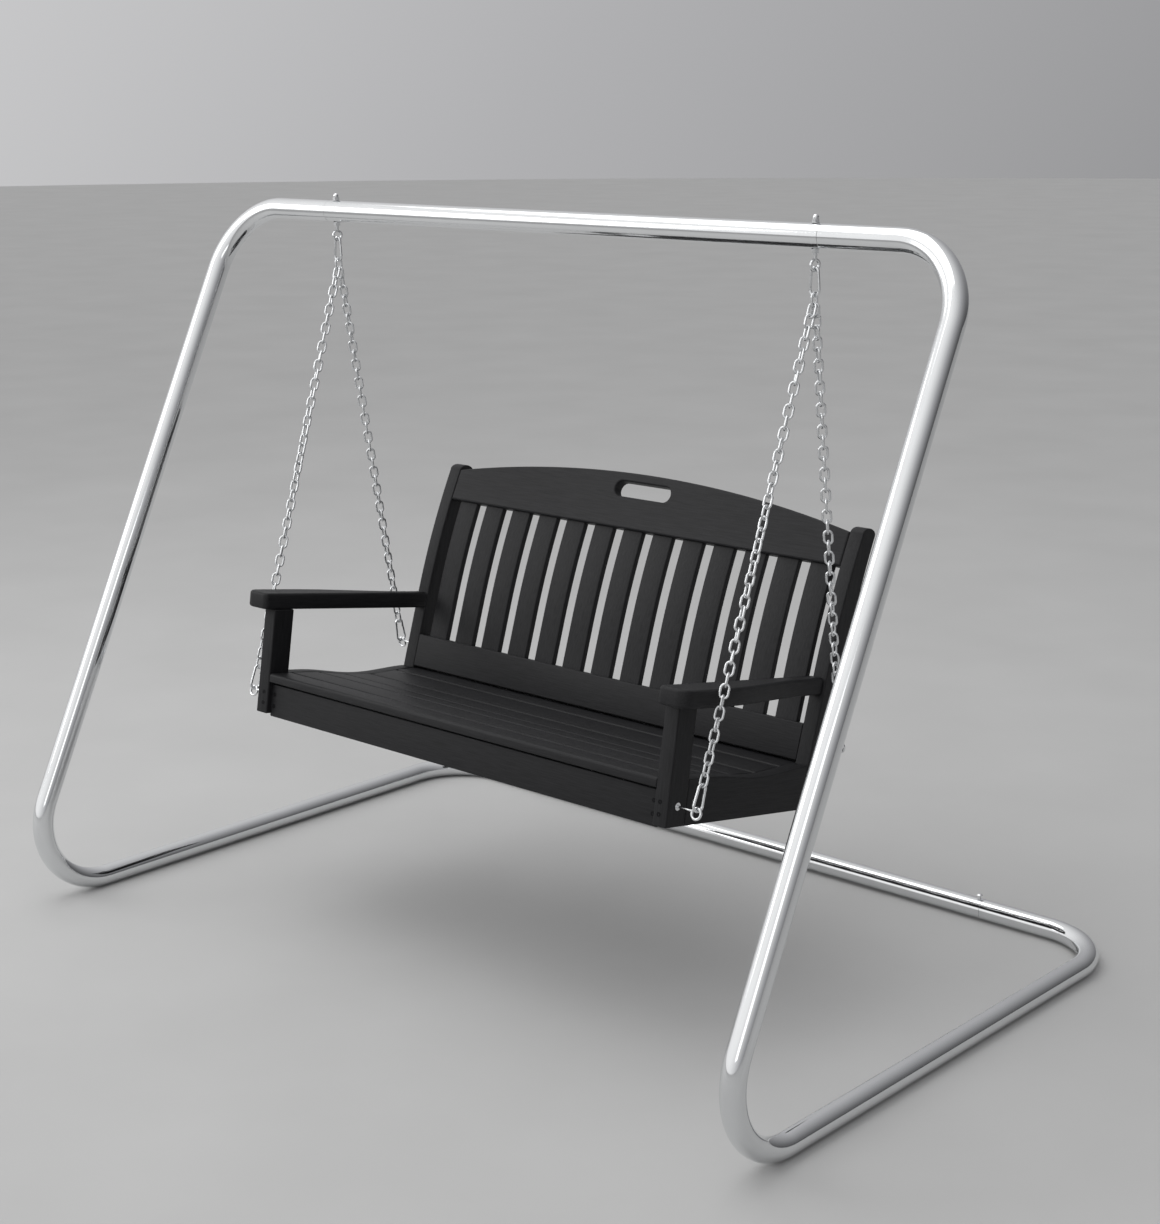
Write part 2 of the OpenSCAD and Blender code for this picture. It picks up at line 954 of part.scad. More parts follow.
module lower_back_rail() {
  color("dimgray")
    hung_bench()
      difference() {
        lean_at(low_rail_z)
          translate([-rail_half, 0, 0])
            cube([2 * rail_half, board_t, low_rail_h]);
        for (i = [0 : back_slats - 1])
          back_slat_envelope(i);
      }
}

slat_low = low_rail_z + low_rail_h - mortise;
slat_high = crest_z + mortise;
slat_steps = 24;
function slat_pt(i, off) = let(z = slat_low + (slat_high - slat_low) * i / slat_steps)
  [back_y(z) + slat_back + off, z];

module slat_curve(grow) {
  polygon(concat([for (i = [0 : slat_steps]) slat_pt(i, -grow)],
                 [for (i = [slat_steps : -1 : 0]) slat_pt(i, back_slat_t + grow)]));
}

function slat_x(i) = (i - (back_slats - 1) / 2) * slat_pitch;

module back_slat_envelope(i) {
  profile(slat_x(i) - back_slat_w / 2 - 0.1, back_slat_w + 0.2)
    slat_curve(0.15);
}

module back_slat(i) {
  color("dimgray")
    hung_bench()
      profile(slat_x(i) - back_slat_w / 2, back_slat_w)
        slat_curve(0);
}

module back_slat_01() { back_slat(0); }
module back_slat_02() { back_slat(1); }
module back_slat_03() { back_slat(2); }
module back_slat_04() { back_slat(3); }
module back_slat_05() { back_slat(4); }
module back_slat_06() { back_slat(5); }
module back_slat_07() { back_slat(6); }
module back_slat_08() { back_slat(7); }
module back_slat_09() { back_slat(8); }
module back_slat_10() { back_slat(9); }
module back_slat_11() { back_slat(10); }
module back_slat_12() { back_slat(11); }
module back_slat_13() { back_slat(12); }

// ---- Arms ----

arm_wide_y = 90;
arm_taper = 350;
arm_corner = 26;
arm_round = 12;
function arm_ease(y) = 0.5 * (1 + cos(180 * min(max((y - arm_wide_y) / arm_taper, 0), 1)));
function arm_out(y) = arm_rear_w + (arm_w - arm_rear_w) * arm_ease(y);
function corner(cx, cy, r, a0, a1, n) = [for (i = [0 : n]) let(a = a0 + (a1 - a0) * i / n)
  [cx + r * cos(a), cy + r * sin(a)]];

module arm() {
  steps = 26;
  translate([inner_x, 0, arm_under + board_gap])
    difference() {
      linear_extrude(height = arm_t)
        polygon(concat(
          corner(arm_round, arm_round - arm_front, arm_round, 180, 270, 8),
          corner(arm_w - arm_corner, arm_corner - arm_front, arm_corner, 270, 360, 12),
          [for (i = [0 : steps]) let(y = arm_wide_y + (back_y(arm_under) + 30 - arm_wide_y) * i / steps)
            [arm_out(y), y]],
          [[0, back_y(arm_under) + 30]]));
      translate([-inner_x, 0, -arm_under - board_gap])
        profile(inner_x - 1, board_t + 4)
          polygon([[back_y(200) - board_gap, 200], [back_y(arm_under + 60) - board_gap, arm_under + 60],
                   [700, arm_under + 60], [700, 200]]);
    }
}

module left_arm() {
  color("dimgray") both(1) arm();
}

module right_arm() {
  color("dimgray") both(0) arm();
}

// ---- Screws ----

post_screws = [[half_w - 21, 49], [half_w - 21, 24]];
apron_screws = [[inner_x - 11, 46], [inner_x - 11, 19]];
screw_head = 2.4;
screw_len = 17;
// How far a screw's head stands out of the board
screw_proud = 0.5;

module screw_hole(p, y) {
  translate([p[0], y - 1, p[1]])
    rotate([-90, 0, 0]) {
      cylinder(r = screw_r + 0.15, h = 1 + screw_head, $fn = 48);
      cylinder(r = 2.1, h = 1 + screw_len, $fn = 48);
    }
}

module post_screw_holes() {
  for (p = post_screws)
    screw_hole(p, 0);
}

module apron_screw_holes() {
  for (p = apron_screws)
    screw_hole(p, apron_back);
}

module screw(p, y) {
  translate([p[0], y, p[1]])
    rotate([-90, 0, 0])
      difference() {
        union() {
          translate([0, 0, -screw_proud])
            cylinder(r = screw_r, h = screw_head + screw_proud - 0.2, $fn = 48);
          cylinder(r = 2, h = screw_len - 0.5, $fn = 48);
        }
        translate([0, 0, -1])
          cylinder(r = 1.9, h = 2.2, $fn = 6);
      }
}

module bench_screws() {
  color("black")
    hung_bench()
      for (m = [0, 1])
        mirror([m, 0, 0]) {
          for (p = post_screws)
            screw(p, 0);
          for (p = apron_screws)
            screw(p, apron_back);
        }
}

top_bar();
rear_bar();
left_frame();
right_frame();
joint_sleeves();
hanger_eyes();
hanger_cap_nuts();
hanger_nuts();
hanger_washers();
rear_bolts();
left_front_post();
right_front_post();
left_back_post();
right_back_post();
front_apron();
left_side_board();
right_side_board();
seat_support();
seat_cleats();
rear_seat_rail();
seat_slat_1();
seat_slat_2();
seat_slat_3();
seat_slat_4();
seat_slat_5();
seat_slat_6();
crest_rail();
lower_back_rail();
back_slat_01();
back_slat_02();
back_slat_03();
back_slat_04();
back_slat_05();
back_slat_06();
back_slat_07();
back_slat_08();
back_slat_09();
back_slat_10();
back_slat_11();
back_slat_12();
back_slat_13();
left_arm();
right_arm();
bench_screws();
seat_eyes();
seat_eye_washers();
upper_snaps();
lower_snaps();
joining_links();
left_front_chain();
left_rear_chain();
right_front_chain();
right_rear_chain();
left_upper_gate();
right_upper_gate();
left_front_gate();
left_rear_gate();
right_front_gate();
right_rear_gate();
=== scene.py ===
# %% [markdown]
# # A porch swing
# A slatted bench hangs on four chains from a stand of polished bent tube.
# The exact frame is loaded first. Everything made here is laid over it, in metres:
# +X is the viewer's right, the sitter faces -Y, and the floor is Z = 0.

# %% Load the exact frame
import bpy
from math import sin, cos, tan, atan, pi, radians, sqrt
from mathutils import Matrix, Vector


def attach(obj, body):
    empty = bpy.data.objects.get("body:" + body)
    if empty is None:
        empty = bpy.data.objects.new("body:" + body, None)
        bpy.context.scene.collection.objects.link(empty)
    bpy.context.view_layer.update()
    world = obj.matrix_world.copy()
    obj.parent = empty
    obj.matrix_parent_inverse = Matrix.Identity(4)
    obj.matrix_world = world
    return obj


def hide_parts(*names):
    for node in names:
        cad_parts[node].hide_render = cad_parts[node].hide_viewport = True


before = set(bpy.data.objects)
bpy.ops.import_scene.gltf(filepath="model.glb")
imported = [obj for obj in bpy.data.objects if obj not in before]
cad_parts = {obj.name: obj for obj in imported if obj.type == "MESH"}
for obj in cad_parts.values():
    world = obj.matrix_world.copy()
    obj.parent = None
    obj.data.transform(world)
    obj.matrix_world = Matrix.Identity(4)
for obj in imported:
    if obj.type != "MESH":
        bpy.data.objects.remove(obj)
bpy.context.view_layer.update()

# %% [markdown]
# ## Finishes: polished tube
# The stand is stainless tube, polished almost to a mirror. Polishing leaves very fine
# scratches and a faint unevenness, so roughness and bump both carry a little noise.
# A metal shader is enough; what makes it read as a mirror is the light around it.


# %% Polished metal
def new_material(name, color, rough, metal):
    mat = bpy.data.materials.new(name)
    mat.use_nodes = True
    shader = mat.node_tree.nodes["Principled BSDF"]
    shader.inputs["Base Color"].default_value = (*color, 1)
    shader.inputs["Roughness"].default_value = rough
    shader.inputs["Metallic"].default_value = metal
    return mat, mat.node_tree, shader


def add(tree, kind, **values):
    node = tree.nodes.new(kind)
    for key, value in values.items():
        if key in node.inputs:
            node.inputs[key].default_value = value
        else:
            setattr(node, key, value)
    return node


def noise_in(tree, scale, detail, stretch):
    """A noise texture read in the piece's own space, stretched along one or more axes."""
    where = add(tree, "ShaderNodeTexCoord")
    mapping = add(tree, "ShaderNodeMapping")
    mapping.inputs["Scale"].default_value = stretch
    noise = add(tree, "ShaderNodeTexNoise", Scale=scale, Detail=detail)
    tree.links.new(where.outputs["Object"], mapping.inputs["Vector"])
    tree.links.new(mapping.outputs["Vector"], noise.inputs["Vector"])
    return noise


def spread(tree, source, low, high):
    """Turns a noise of 0 to 1 into a value between low and high."""
    node = add(tree, "ShaderNodeMapRange")
    node.inputs["From Min"].default_value = 0.3
    node.inputs["From Max"].default_value = 0.7
    node.inputs["To Min"].default_value = low
    node.inputs["To Max"].default_value = high
    tree.links.new(source, node.inputs["Value"])
    return node.outputs["Result"]


def metal(name, color, rough_low, rough_high, scale, bump):
    mat, tree, shader = new_material(name, color, rough_low, 1.0)
    smudge = noise_in(tree, scale, 4, (1, 1, 1))
    tree.links.new(spread(tree, smudge.outputs["Fac"], rough_low, rough_high),
                   shader.inputs["Roughness"])
    fine = noise_in(tree, scale * 60, 2, (1, 1, 1))
    height = add(tree, "ShaderNodeBump", Strength=bump, Distance=0.0002)
    tree.links.new(fine.outputs["Fac"], height.inputs["Height"])
    tree.links.new(height.outputs["Normal"], shader.inputs["Normal"])
    tint = add(tree, "ShaderNodeMix", data_type="RGBA")
    tint.inputs["A"].default_value = (*[c * 0.93 for c in color], 1)
    tint.inputs["B"].default_value = (*color, 1)
    tree.links.new(smudge.outputs["Fac"], tint.inputs["Factor"])
    tree.links.new(tint.outputs["Result"], shader.inputs["Base Color"])
    return mat


polished = metal("polished tube", (0.80, 0.81, 0.82), 0.07, 0.12, 9, 0.003)
zinc = metal("bright zinc", (0.74, 0.75, 0.76), 0.20, 0.34, 40, 0.10)
steel = metal("polished steel", (0.78, 0.79, 0.80), 0.12, 0.22, 60, 0.05)
dark_steel = metal("dark screw", (0.014, 0.014, 0.015), 0.38, 0.50, 80, 0.05)
print("metals made")

# %% [markdown]
# ## Finishes: plastic lumber
# The bench is moulded plastic lumber, nearly black, with a brushed grain pressed into it
# along each board. The grain is a noise stretched along the board, so there is one
# version for each way a board can run.


# %% Grained lumber
def lumber(name, run):
    color = (0.020, 0.020, 0.022)
    mat, tree, shader = new_material(name, color, 0.5, 0.0)
    shader.inputs["Specular IOR Level"].default_value = 0.2
    stretch = [1.0, 1.0, 1.0]
    stretch[run] = 0.045
    grain = noise_in(tree, 420, 6, stretch)
    pores = noise_in(tree, 900, 3, (1, 1, 1))
    cloud = noise_in(tree, 7, 3, stretch)
    ramp = add(tree, "ShaderNodeMix", data_type="RGBA")
    ramp.inputs["A"].default_value = (0.009, 0.009, 0.010, 1)
    ramp.inputs["B"].default_value = (0.024, 0.024, 0.026, 1)
    tree.links.new(spread(tree, grain.outputs["Fac"], 0.1, 0.8), ramp.inputs["Factor"])
    tone = add(tree, "ShaderNodeMix", data_type="RGBA")
    tone.blend_type = "MULTIPLY"
    tone.inputs["Factor"].default_value = 0.35
    tree.links.new(ramp.outputs["Result"], tone.inputs["A"])
    tree.links.new(cloud.outputs["Fac"], tone.inputs["B"])
    tree.links.new(tone.outputs["Result"], shader.inputs["Base Color"])
    tree.links.new(spread(tree, pores.outputs["Fac"], 0.42, 0.60), shader.inputs["Roughness"])
    low = add(tree, "ShaderNodeBump", Strength=0.45, Distance=0.0006)
    tree.links.new(grain.outputs["Fac"], low.inputs["Height"])
    high = add(tree, "ShaderNodeBump", Strength=0.25, Distance=0.0003)
    tree.links.new(pores.outputs["Fac"], high.inputs["Height"])
    tree.links.new(low.outputs["Normal"], high.inputs["Normal"])
    tree.links.new(high.outputs["Normal"], shader.inputs["Normal"])
    return mat


grain_across = lumber("lumber, grain along local X", 0)
grain_up = lumber("lumber, grain along local Y", 1)
grain_through = lumber("lumber, grain along local Z", 2)
print("lumber made, one version for each way a board runs")

# %% [markdown]
# ## The stand
# Two straight bars, one above and one on the floor behind, join two side frames that are
# each bent from a single tube. A tube is a circle carried along a path of straights and
# arcs, so the path is worked out first and the circle is swept along it.

# %% Sizes of the stand
tube_r, wall = 0.02415, 0.0026
bend_r = 0.160
top_z = 1.619 - tube_r
rake = radians(26.3)
leg_x = 2.127 / 2 - tube_r
foot_y = -(top_z - tube_r) * tan(rake)
rear_reach = 0.680
seam_x, seam_gap = 0.703, 0.0004
foot_trim = bend_r / tan((pi / 2 - rake) / 2)
bar_y = (-foot_y - foot_trim + bend_r - rear_reach) / 2
print("top bar's axis at", round(bar_y, 5), round(top_z, 5))


# %% Sweep a tube along a path
def path_with_bends(corners, radius, step=radians(2.5)):
    """Points and directions along a path whose inner corners are rounded."""
    points = [Vector(c) for c in corners]
    out = [(points[0], (points[1] - points[0]).normalized())]
    for before, corner, after in zip(points, points[1:], points[2:]):
        a = (corner - before).normalized()
        b = (after - corner).normalized()
        turn = a.angle(b)
        trim = radius * tan(turn / 2)
        start = corner - a * trim
        side = (b - a * a.dot(b)).normalized()
        centre = start + side * radius
        count = max(2, round(turn / step))
        for i in range(count + 1):
            t = turn * i / count
            out.append((centre - side * radius * cos(t) + a * radius * sin(t),
                        a * cos(t) + side * sin(t)))
    out.append((points[-1], (points[-1] - points[-2]).normalized()))
    return out


def finished_mesh(name, verts, faces, sharp=35):
    mesh = bpy.data.meshes.new(name)
    mesh.from_pydata(verts, [], faces)
    mesh.validate()
    mesh.shade_smooth()
    mesh.set_sharp_from_angle(angle=radians(sharp))
    return mesh


def tube_object(name, path, sides=72):
    """A hollow tube with a softened rim and a little of its bore at both ends."""
    across = Vector((0, 0, 1)) if abs(path[0][1].z) < 0.9 else Vector((1, 0, 0))
    rings = []
    for i, (p, d) in enumerate(path):
        across = (across - d * across.dot(d)).normalized()
        other = d.cross(across)
        here = [(0, tube_r)]
        rim = 0.0004
        if i == 0:
            here = [(0.03, tube_r - wall), (0, tube_r - wall), (0, tube_r - rim), (rim, tube_r)]
        if i == len(path) - 1:
            here = [(-rim, tube_r), (0, tube_r - rim), (0, tube_r - wall), (-0.03, tube_r - wall)]
        for along, r in here:
            rings.append([p + d * along + (across * cos(a) + other * sin(a)) * r
                          for a in (2 * pi * k / sides for k in range(sides))])
    verts = [v for ring in rings for v in ring]
    faces = [(i * sides + k, i * sides + (k + 1) % sides,
              (i + 1) * sides + (k + 1) % sides, (i + 1) * sides + k)
             for i in range(len(rings) - 1) for k in range(sides)]
    obj = bpy.data.objects.new(name, finished_mesh(name, verts, faces))
    bpy.context.collection.objects.link(obj)
    obj.data.materials.append(polished)
    return obj


def stands_for(obj, node, body):
    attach(obj, body)
    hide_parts(node)


# %% The two straight bars
end_x = seam_x - seam_gap / 2
for node, y, z in (("top_bar", bar_y, top_z), ("rear_bar", bar_y + rear_reach, tube_r)):
    path = path_with_bends([(-end_x, y, z), (end_x, y, z)], bend_r)
    stands_for(tube_object("polished_" + node, path), node, "stand")
print("bars", round(2 * end_x, 4), "m long")

# %% The two side frames
for side, node in ((1, "right_frame"), (-1, "left_frame")):
    start = side * (seam_x + seam_gap / 2)
    path = path_with_bends([(start, bar_y, top_z), (side * leg_x, bar_y, top_z),
                            (side * leg_x, bar_y + foot_y, tube_r),
                            (side * leg_x, bar_y + rear_reach, tube_r),
                            (start, bar_y + rear_reach, tube_r)], bend_r)
    stands_for(tube_object("polished_" + node, path), node, "stand")
    print(node, len(path), "rings")

# %% [markdown]
# ## The bench's own space
# The bench was cut and screwed together square, then hung with a lean. Its boards are
# easiest to describe in its own space: across, back from the front face, and up from the
# posts' feet. One matrix then leans the whole bench into place.

# %% Bench space
tilt = radians(10)
half_w, thick = 1.236 / 2, 0.035
inner_x = half_w - thick
bench_front, bench_z = 0.362, 0.4866
bench = (Matrix.Translation((0, bar_y - bench_front, bench_z))
         @ Matrix.Rotation(-tilt, 4, "X"))


post_foot, post_lean, post_bend, bend_from = 0.439, 0.14, 0.296, 0.280


def back_y(z):
    """Front face of the back posts: it leans, then curves back."""
    return post_foot + post_lean * z + post_bend * max(0, z - bend_from) ** 2


seat_h, dip, dip_from, dip_len = 0.094, 0.0125, 0.110, 0.360


def seat_z(y):
    """Top of the seat: level, with a dip for the sitter."""
    t = min(max((y - dip_from) / dip_len, 0), 1)
    return seat_h - dip * sin(pi * t) ** 2


# profiles drawn in (back, up) are laid along X; outlines in (across, back) are laid along Z
side_on = Matrix(((0, 0, 1, 0), (1, 0, 0, 0), (0, 1, 0, 0), (0, 0, 0, 1)))


# %% [markdown]
# ## A board with softened edges
# Every board is an outline with a thickness, and plastic lumber has its edges rounded.
# A flat curve can be filled, thickened and bevelled in one go, holes included, so it is
# a good way to make all of them. Corners of the outline are rounded separately.


# %% Round the corners of an outline
def rounded(corners, radius, steps=5):
    """corners are (x, y) or (x, y, own radius)."""
    out = []
    count = len(corners)
    for i, c in enumerate(corners):
        p = Vector(c[:2])
        r = c[2] if len(c) > 2 else radius
        a = Vector(corners[i - 1][:2]) - p
        b = Vector(corners[(i + 1) % count][:2]) - p
        corner = a.angle(b)
        if r <= 0 or corner > radians(168):
            out.append(p)
            continue
        trim = min(r / tan(corner / 2), a.length * 0.48, b.length * 0.48)
        r = trim * tan(corner / 2)
        a, b = a.normalized(), b.normalized()
        centre = p + (a + b).normalized() * (r / sin(corner / 2))
        start, end = p + a * trim - centre, p + b * trim - centre
        sweep = start.angle_signed(end)
        for k in range(steps + 1):
            t = -sweep * k / steps
            out.append(centre + Vector((start.x * cos(t) - start.y * sin(t),
                                        start.x * sin(t) + start.y * cos(t))))
    return out


def board(name, outline, thickness, place, edge, mat, holes=()):
    """A solid board: outline in its local XY, thickness centred on local Z."""
    curve = bpy.data.curves.new(name, "CURVE")
    curve.dimensions = "2D"
    curve.fill_mode = "BOTH"
    curve.extrude = thickness / 2 - edge
    curve.bevel_depth = edge
    curve.bevel_resolution = 3
    curve.offset = -edge
    for loop in (outline, *holes):
        spline = curve.splines.new("POLY")
        spline.points.add(len(loop) - 1)
        spline.use_cyclic_u = True
        for point, at in zip(spline.points, loop):
            point.co = (at[0], at[1], 0, 1)
    shape = bpy.data.objects.new(name, curve)
    bpy.context.collection.objects.link(shape)
    bpy.context.view_layer.update()
    mesh = bpy.data.meshes.new_from_object(shape)
    bpy.data.objects.remove(shape)
    mesh.name = name
    mesh.materials.clear()
    mesh.materials.append(mat)
    mesh.shade_smooth()
    mesh.set_sharp_from_angle(angle=radians(32))
    obj = bpy.data.objects.new(name, mesh)
    bpy.context.collection.objects.link(obj)
    obj.matrix_world = place
    return obj


def bench_board(node, outline, thickness, place, edge, mat, holes=()):
    obj = board("lumber_" + node, outline, thickness, bench @ place, edge, mat, holes)
    bpy.context.view_layer.update()
    stands_for(obj, node, "swing")
    return obj


def across_at(x):
    """Places a side-on profile with its middle at x."""
    return Matrix.Translation((x, 0, 0)) @ side_on


# %% [markdown]
# ## Posts and side boards
# Each end of the bench is a short front post, a tall curved back post and a board between
# them, whose top follows the dip of the seat. They are all cut from the same thickness.

# %% Front posts
arm_under = 0.241
front_post_d = 0.057
for side, node in ((1, "right_front_post"), (-1, "left_front_post")):
    outline = rounded([(0, 0), (front_post_d, 0),
                       (front_post_d, arm_under), (0, arm_under)], 0.0025)
    bench_board(node, outline, thick, across_at(side * (half_w - thick / 2)), 0.003, grain_up)
print("front posts", arm_under, "m tall")

# %% Back posts
back_h, foot_d, taper_d, cap_r = 0.594, 0.056, 0.010, 0.014


def post_depth(z):
    """Front-to-back size of a back post, which thins towards its top."""
    return foot_d - taper_d * max(0, z - bend_from) / (back_h - bend_from)


shoulder = back_h - cap_r
levels = [shoulder * i / 28 for i in range(29)]
cap = [(back_y(shoulder) + post_depth(shoulder) / 2 * (1 - cos(radians(a))),
        shoulder + cap_r * sin(radians(a))) for a in range(10, 180, 10)]
post_outline = ([(back_y(z), z) for z in levels] + cap
                + [(back_y(z) + post_depth(z), z) for z in reversed(levels)])
for side, node in ((1, "right_back_post"), (-1, "left_back_post")):
    bench_board(node, rounded(post_outline, 0.0025), thick,
                across_at(side * (half_w - thick / 2)), 0.003, grain_up)
print("back posts lean to", round(back_y(shoulder), 4))

# %% Where the seat slats lie
nosing_w, seat_end, seat_gap, slat_t, slats = 0.062, 0.478, 0.0045, 0.020, 5
slat_run = (seat_end - nosing_w) / slats
slat_spans = [(0, nosing_w)] + [(nosing_w + slat_run * i + seat_gap, nosing_w + slat_run * (i + 1))
                                for i in range(slats)]
gap = 0.0002
half_in = inner_x - gap
under_seat = [(y, seat_z(y) - slat_t - gap) for span in slat_spans for y in span]


def under_at(y):
    """Height of the slats' undersides at a depth."""
    for (y0, z0), (y1, z1) in zip(under_seat, under_seat[1:]):
        if y0 <= y <= y1:
            return z0 + (z1 - z0) * (y - y0) / (y1 - y0)
    return under_seat[-1][1]


# %% Side boards
front = front_post_d + gap
rear_low, rear_high = back_y(0) - gap, back_y(seat_z(0)) - gap
top_line = [(y, seat_z(y)) for y in (rear_high + (front - rear_high) * i / 24 for i in range(25))]
side_outline = [(front, 0), (rear_low, 0)] + top_line
for side, node in ((1, "right_side_board"), (-1, "left_side_board")):
    bench_board(node, rounded(side_outline, 0.0015), thick,
                across_at(side * (half_w - thick / 2)), 0.002, grain_across)

# %% Apron, middle support and rear rail
frame_low = 0.022
apron_y, apron_t, apron_low, apron_top = 0.012, 0.019, -0.006, 0.069
apron = rounded([(apron_y, apron_low), (apron_y + apron_t, apron_low),
                 (apron_y + apron_t, apron_top), (apron_y, apron_top)], 0.003)
bench_board("front_apron", apron, 2 * half_in, across_at(0), 0.0015, grain_through)
rail_y, rail_t = 0.425, 0.035
behind_apron, before_rail = apron_y + apron_t + gap, rail_y - gap
tops = [(y, z) for y, z in under_seat if behind_apron < y < before_rail]
middle = ([(behind_apron, frame_low), (before_rail, frame_low),
           (before_rail, under_at(before_rail))]
          + tops[::-1] + [(behind_apron, under_at(behind_apron))])
bench_board("seat_support", rounded(middle, 0.0015), thick, across_at(0), 0.002, grain_across)
rail_back = rail_y + rail_t
rail = [(rail_y, frame_low), (rail_back, frame_low), (rail_back, under_at(rail_back)),
        (rail_y, under_at(rail_y))]
bench_board("rear_seat_rail", rounded(rail, 0.0015), 2 * half_in, across_at(0),
            0.0015, grain_through)
print("seat frame done")

# %% [markdown]
# ## Seat slats
# Six flat boards follow the dip of the seat, all of them cut to fit between the side
# boards. The first is the nosing, with a rounder front edge than the rest.

# %% Six slats
for i, (a, b) in enumerate(slat_spans):
    za, zb = seat_z(a), seat_z(b)
    nose = 0.006 if i == 0 else 0.004
    section = [(a, za, nose), (b, zb, 0.004), (b, zb - slat_t, 0.002), (a, za - slat_t, 0.002)]
    bench_board("seat_slat_%d" % (i + 1), rounded(section, 0.003), 2 * half_in, across_at(0),
                0.003, grain_through)
print("seat slats", [round((b - a) * 1000, 1) for a, b in slat_spans])

# %% [markdown]
# ## The back
# Thirteen thin slats, all cut to the posts' curve, stand between a straight lower rail
# and an arched crest rail with a hand slot. The rails lean with the curve at their height.


# %% Back slats
def lean_at(z):
    """A place on the posts' front curve that leans with it, and the lean."""
    lean = atan(post_lean + 2 * post_bend * max(0, z - bend_from))
    return Matrix.Translation((0, back_y(z), z)) @ Matrix.Rotation(-lean, 4, "X"), lean


back_slat_w, back_slat_t, mortise = 0.058, 0.015, 0.012
low_rail_z, low_rail_h, crest_z = 0.098, 0.079, 0.510
set_back = (thick - back_slat_t) / 2
slat_low, slat_high = low_rail_z + low_rail_h - mortise, crest_z + mortise
heights = [slat_low + (slat_high - slat_low) * i / 24 for i in range(25)]
slat_outline = ([(back_y(z) + set_back, z) for z in heights]
                + [(back_y(z) + set_back + back_slat_t, z) for z in reversed(heights)])
slat_count, end_space = 13, 0.024
slat_pitch = (2 * (inner_x - end_space) - back_slat_w) / (slat_count - 1)
for i in range(slat_count):
    bench_board("back_slat_%02d" % (i + 1), slat_outline, back_slat_w,
                across_at((i - slat_count // 2) * slat_pitch), 0.003, grain_up)
print("back slats every", round(slat_pitch * 1000, 1), "mm")

# %% Lower rail
place = lean_at(low_rail_z)[0]
section = rounded([(0, 0), (thick, 0), (thick, low_rail_h), (0, low_rail_h)], 0.003)
bench_board("lower_back_rail", section, 2 * half_in, place @ side_on, 0.0015, grain_through)

# %% Crest rail
end_h, rise, crest_t, slot_l, slot_h = 0.076, 0.056, 0.027, 0.164, 0.036
lean_up = 0.035
place, lean = lean_at(crest_z + lean_up)
bottom = -lean_up / cos(lean)
big_r = (half_in ** 2 + rise ** 2) / (2 * rise)
top = bottom + end_h + rise
arch = [(x, top - big_r + sqrt(big_r ** 2 - x ** 2))
        for x in (half_in - 2 * half_in * i / 96 for i in range(97))]
outline = rounded([(-half_in, bottom), (half_in, bottom)] + arch, 0.003)
slot_share = 0.7
slot_z = bottom + (end_h + rise) * slot_share
straight = (slot_l - slot_h) / 2
slot = [(s * straight + slot_h / 2 * cos(radians(a)), slot_z + slot_h / 2 * sin(radians(a)))
        for s, start in ((1, -90), (-1, 90)) for a in range(start, start + 181, 10)]
upright = Matrix.Translation((0, crest_t / 2, 0)) @ Matrix.Rotation(pi / 2, 4, "X")
bench_board("crest_rail", outline, crest_t, place @ upright, 0.004, grain_across, [slot])
print("crest rises to", round(top, 4), "above its lean point")

# %% [markdown]
# ## Arms
# An arm is a flat board on the front post: wide where the hand rests, drawn in towards
# the back post by an easy curve, with generous roundings at the front and along the top.

# %% Arms
arm_w, arm_rear, overhang, arm_t = 0.072, 0.030, 0.030, 0.037
wide_y, taper, rear_gap = 0.090, 0.350, 0.001
arm_back = back_y(arm_under + arm_t / 2) - rear_gap


def arm_out(y):
    """How far the arm stands out past the post's inner face at a depth."""
    t = min(max((y - wide_y) / taper, 0), 1)
    return arm_rear + (arm_w - arm_rear) * 0.5 * (1 + cos(pi * t))


edge_line = [(arm_out(y), y) for y in (wide_y + (arm_back - wide_y) * i / 26 for i in range(27))]
for side, node in ((1, "right_arm"), (-1, "left_arm")):
    outline = rounded([(0, -overhang, 0.012), (arm_w, -overhang, 0.026)] + edge_line
                      + [(0, arm_back, 0.002)], 0.002, steps=9)
    outline = [(side * (inner_x + p[0]), p[1]) for p in outline]
    place = Matrix.Translation((0, 0, arm_under + gap + arm_t / 2))
    bench_board(node, outline, arm_t, place, 0.006, grain_up)
print("arms", round(arm_back, 4), "m back")

# %% [markdown]
# ## Chain, hooks and small steel
# The chains, snap hooks, eyes, nuts and screws keep their exact shapes and only take a
# finish, and so do the two lumber cleats under the seat. Zinc on the chains is duller than
# the polished eyes and hooks.

# %% Finishes for the exact pieces
own_finish = {"bench_screws": dark_steel, "seat_cleats": grain_up, "joining_links": zinc}
for name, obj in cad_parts.items():
    finish = own_finish.get(name, zinc if "chain" in name else steel)
    obj.data.materials.clear()
    obj.data.materials.append(finish)
print("finishes set")

# %% [markdown]
# ## Floor, light and camera
# A plain pale floor and broad soft lights. A mirror shows its surroundings, so the sky
# is paler on the left and darker on the right and behind. That puts a dark edge on the tubes.

# %% Floor
bpy.ops.mesh.primitive_circle_add(vertices=96, radius=40, fill_type="NGON", location=(0, 0, 0))
floor = bpy.context.object
floor.name = "floor"
mat, tree, shader = new_material("pale floor", (0.52, 0.52, 0.52), 0.75, 0.0)
cloud = noise_in(tree, 1.6, 5, (1, 1, 1))
blend = add(tree, "ShaderNodeMix", data_type="RGBA")
blend.inputs["A"].default_value = (0.44, 0.44, 0.437, 1)
blend.inputs["B"].default_value = (0.52, 0.52, 0.517, 1)
tree.links.new(cloud.outputs["Fac"], blend.inputs["Factor"])
tree.links.new(blend.outputs["Result"], shader.inputs["Base Color"])
floor.data.materials.append(mat)

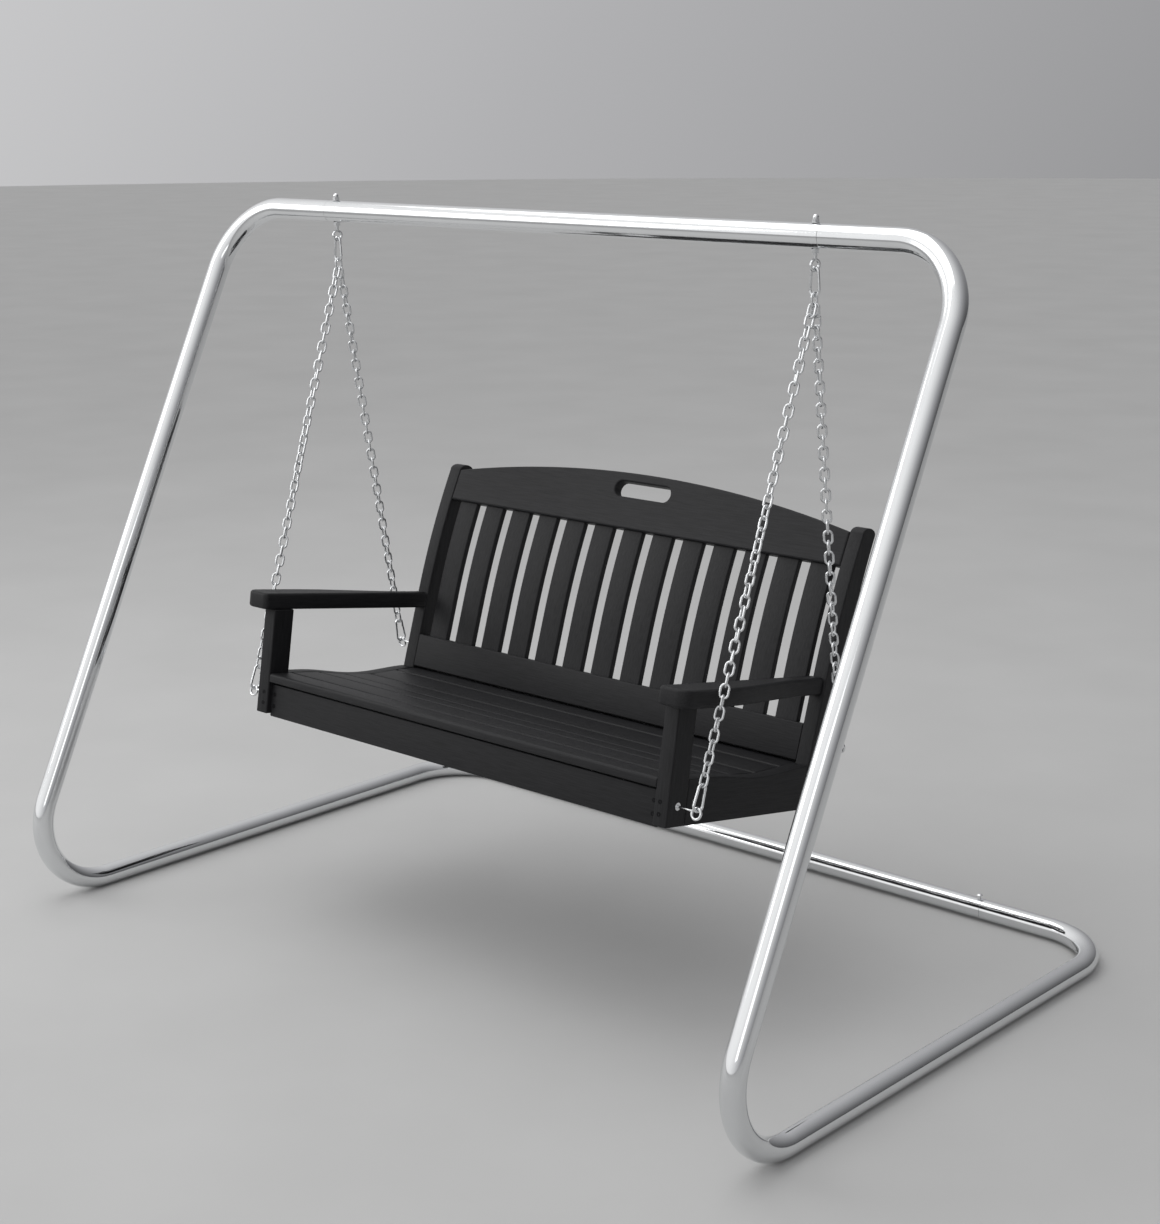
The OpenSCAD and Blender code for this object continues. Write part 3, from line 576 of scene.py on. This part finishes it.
# %% Sky
world = bpy.data.worlds.new("soft sky")
bpy.context.scene.world = world
world.use_nodes = True
tree = world.node_tree
where = add(tree, "ShaderNodeTexCoord")
pale_side, sky_strength = (-0.55, -0.65, 0.52), 1.15
aim = add(tree, "ShaderNodeVectorMath", operation="DOT_PRODUCT")
aim.inputs[1].default_value = pale_side
tree.links.new(where.outputs["Generated"], aim.inputs[0])
ramp = add(tree, "ShaderNodeValToRGB")
ramp.color_ramp.elements[0].position = 0.0
ramp.color_ramp.elements[0].color = (0.05, 0.05, 0.052, 1)
ramp.color_ramp.elements[1].position = 1.0
ramp.color_ramp.elements[1].color = (0.9, 0.9, 0.9, 1)
middle = ramp.color_ramp.elements.new(0.45)
middle.color = (0.38, 0.38, 0.39, 1)
lift = add(tree, "ShaderNodeMapRange")
lift.inputs["From Min"].default_value = -0.9
lift.inputs["From Max"].default_value = 0.9
tree.links.new(aim.outputs["Value"], lift.inputs["Value"])
tree.links.new(lift.outputs["Result"], ramp.inputs["Fac"])
tree.links.new(ramp.outputs["Color"], tree.nodes["Background"].inputs["Color"])
tree.nodes["Background"].inputs["Strength"].default_value = sky_strength


# %% Lights
def softbox(name, at, size, power, look=(0, 0, 0.6)):
    data = bpy.data.lights.new(name, "AREA")
    data.shape = "RECTANGLE"
    data.size, data.size_y = size
    data.energy = power
    lamp = bpy.data.objects.new(name, data)
    bpy.context.collection.objects.link(lamp)
    lamp.location = at
    lamp.rotation_euler = (Vector(look) - Vector(at)).to_track_quat("-Z", "Y").to_euler()
    return lamp


softbox("overhead", (-1.0, -0.6, 5.2), (5.0, 4.0), power=84)
softbox("left front", (-4.6, -3.4, 3.2), (3.2, 2.4), power=70)
softbox("right front", (3.4, -5.4, 2.6), (1.6, 2.4), power=12)
print("lights placed")

# %% Camera
azimuth, down, roll = radians(41.6), radians(15.5), radians(-0.35)
forward = Vector((-sin(azimuth) * cos(down), cos(azimuth) * cos(down), -sin(down)))
right = Vector((cos(azimuth), sin(azimuth), 0))
up = right.cross(forward)
right, up = right * cos(roll) + up * sin(roll), up * cos(roll) - right * sin(roll)
lens = bpy.data.cameras.new("camera")
lens.sensor_width, lens.lens = 36, 62.34
lens.shift_x, lens.shift_y = -0.0308, 0.0486
lens.clip_start, lens.clip_end = 0.1, 200
camera = bpy.data.objects.new("camera", lens)
bpy.context.collection.objects.link(camera)
turn = Matrix((right, up, -forward)).transposed().to_4x4()
stands_at = (3.1167, -3.3133, 1.8748)
camera.matrix_world = Matrix.Translation(stands_at) @ turn
bpy.context.scene.camera = camera
bpy.context.scene.view_settings.view_transform = "Standard"

# %% [markdown]
# ## Finish

# %% Update the scene
bpy.context.view_layer.update()
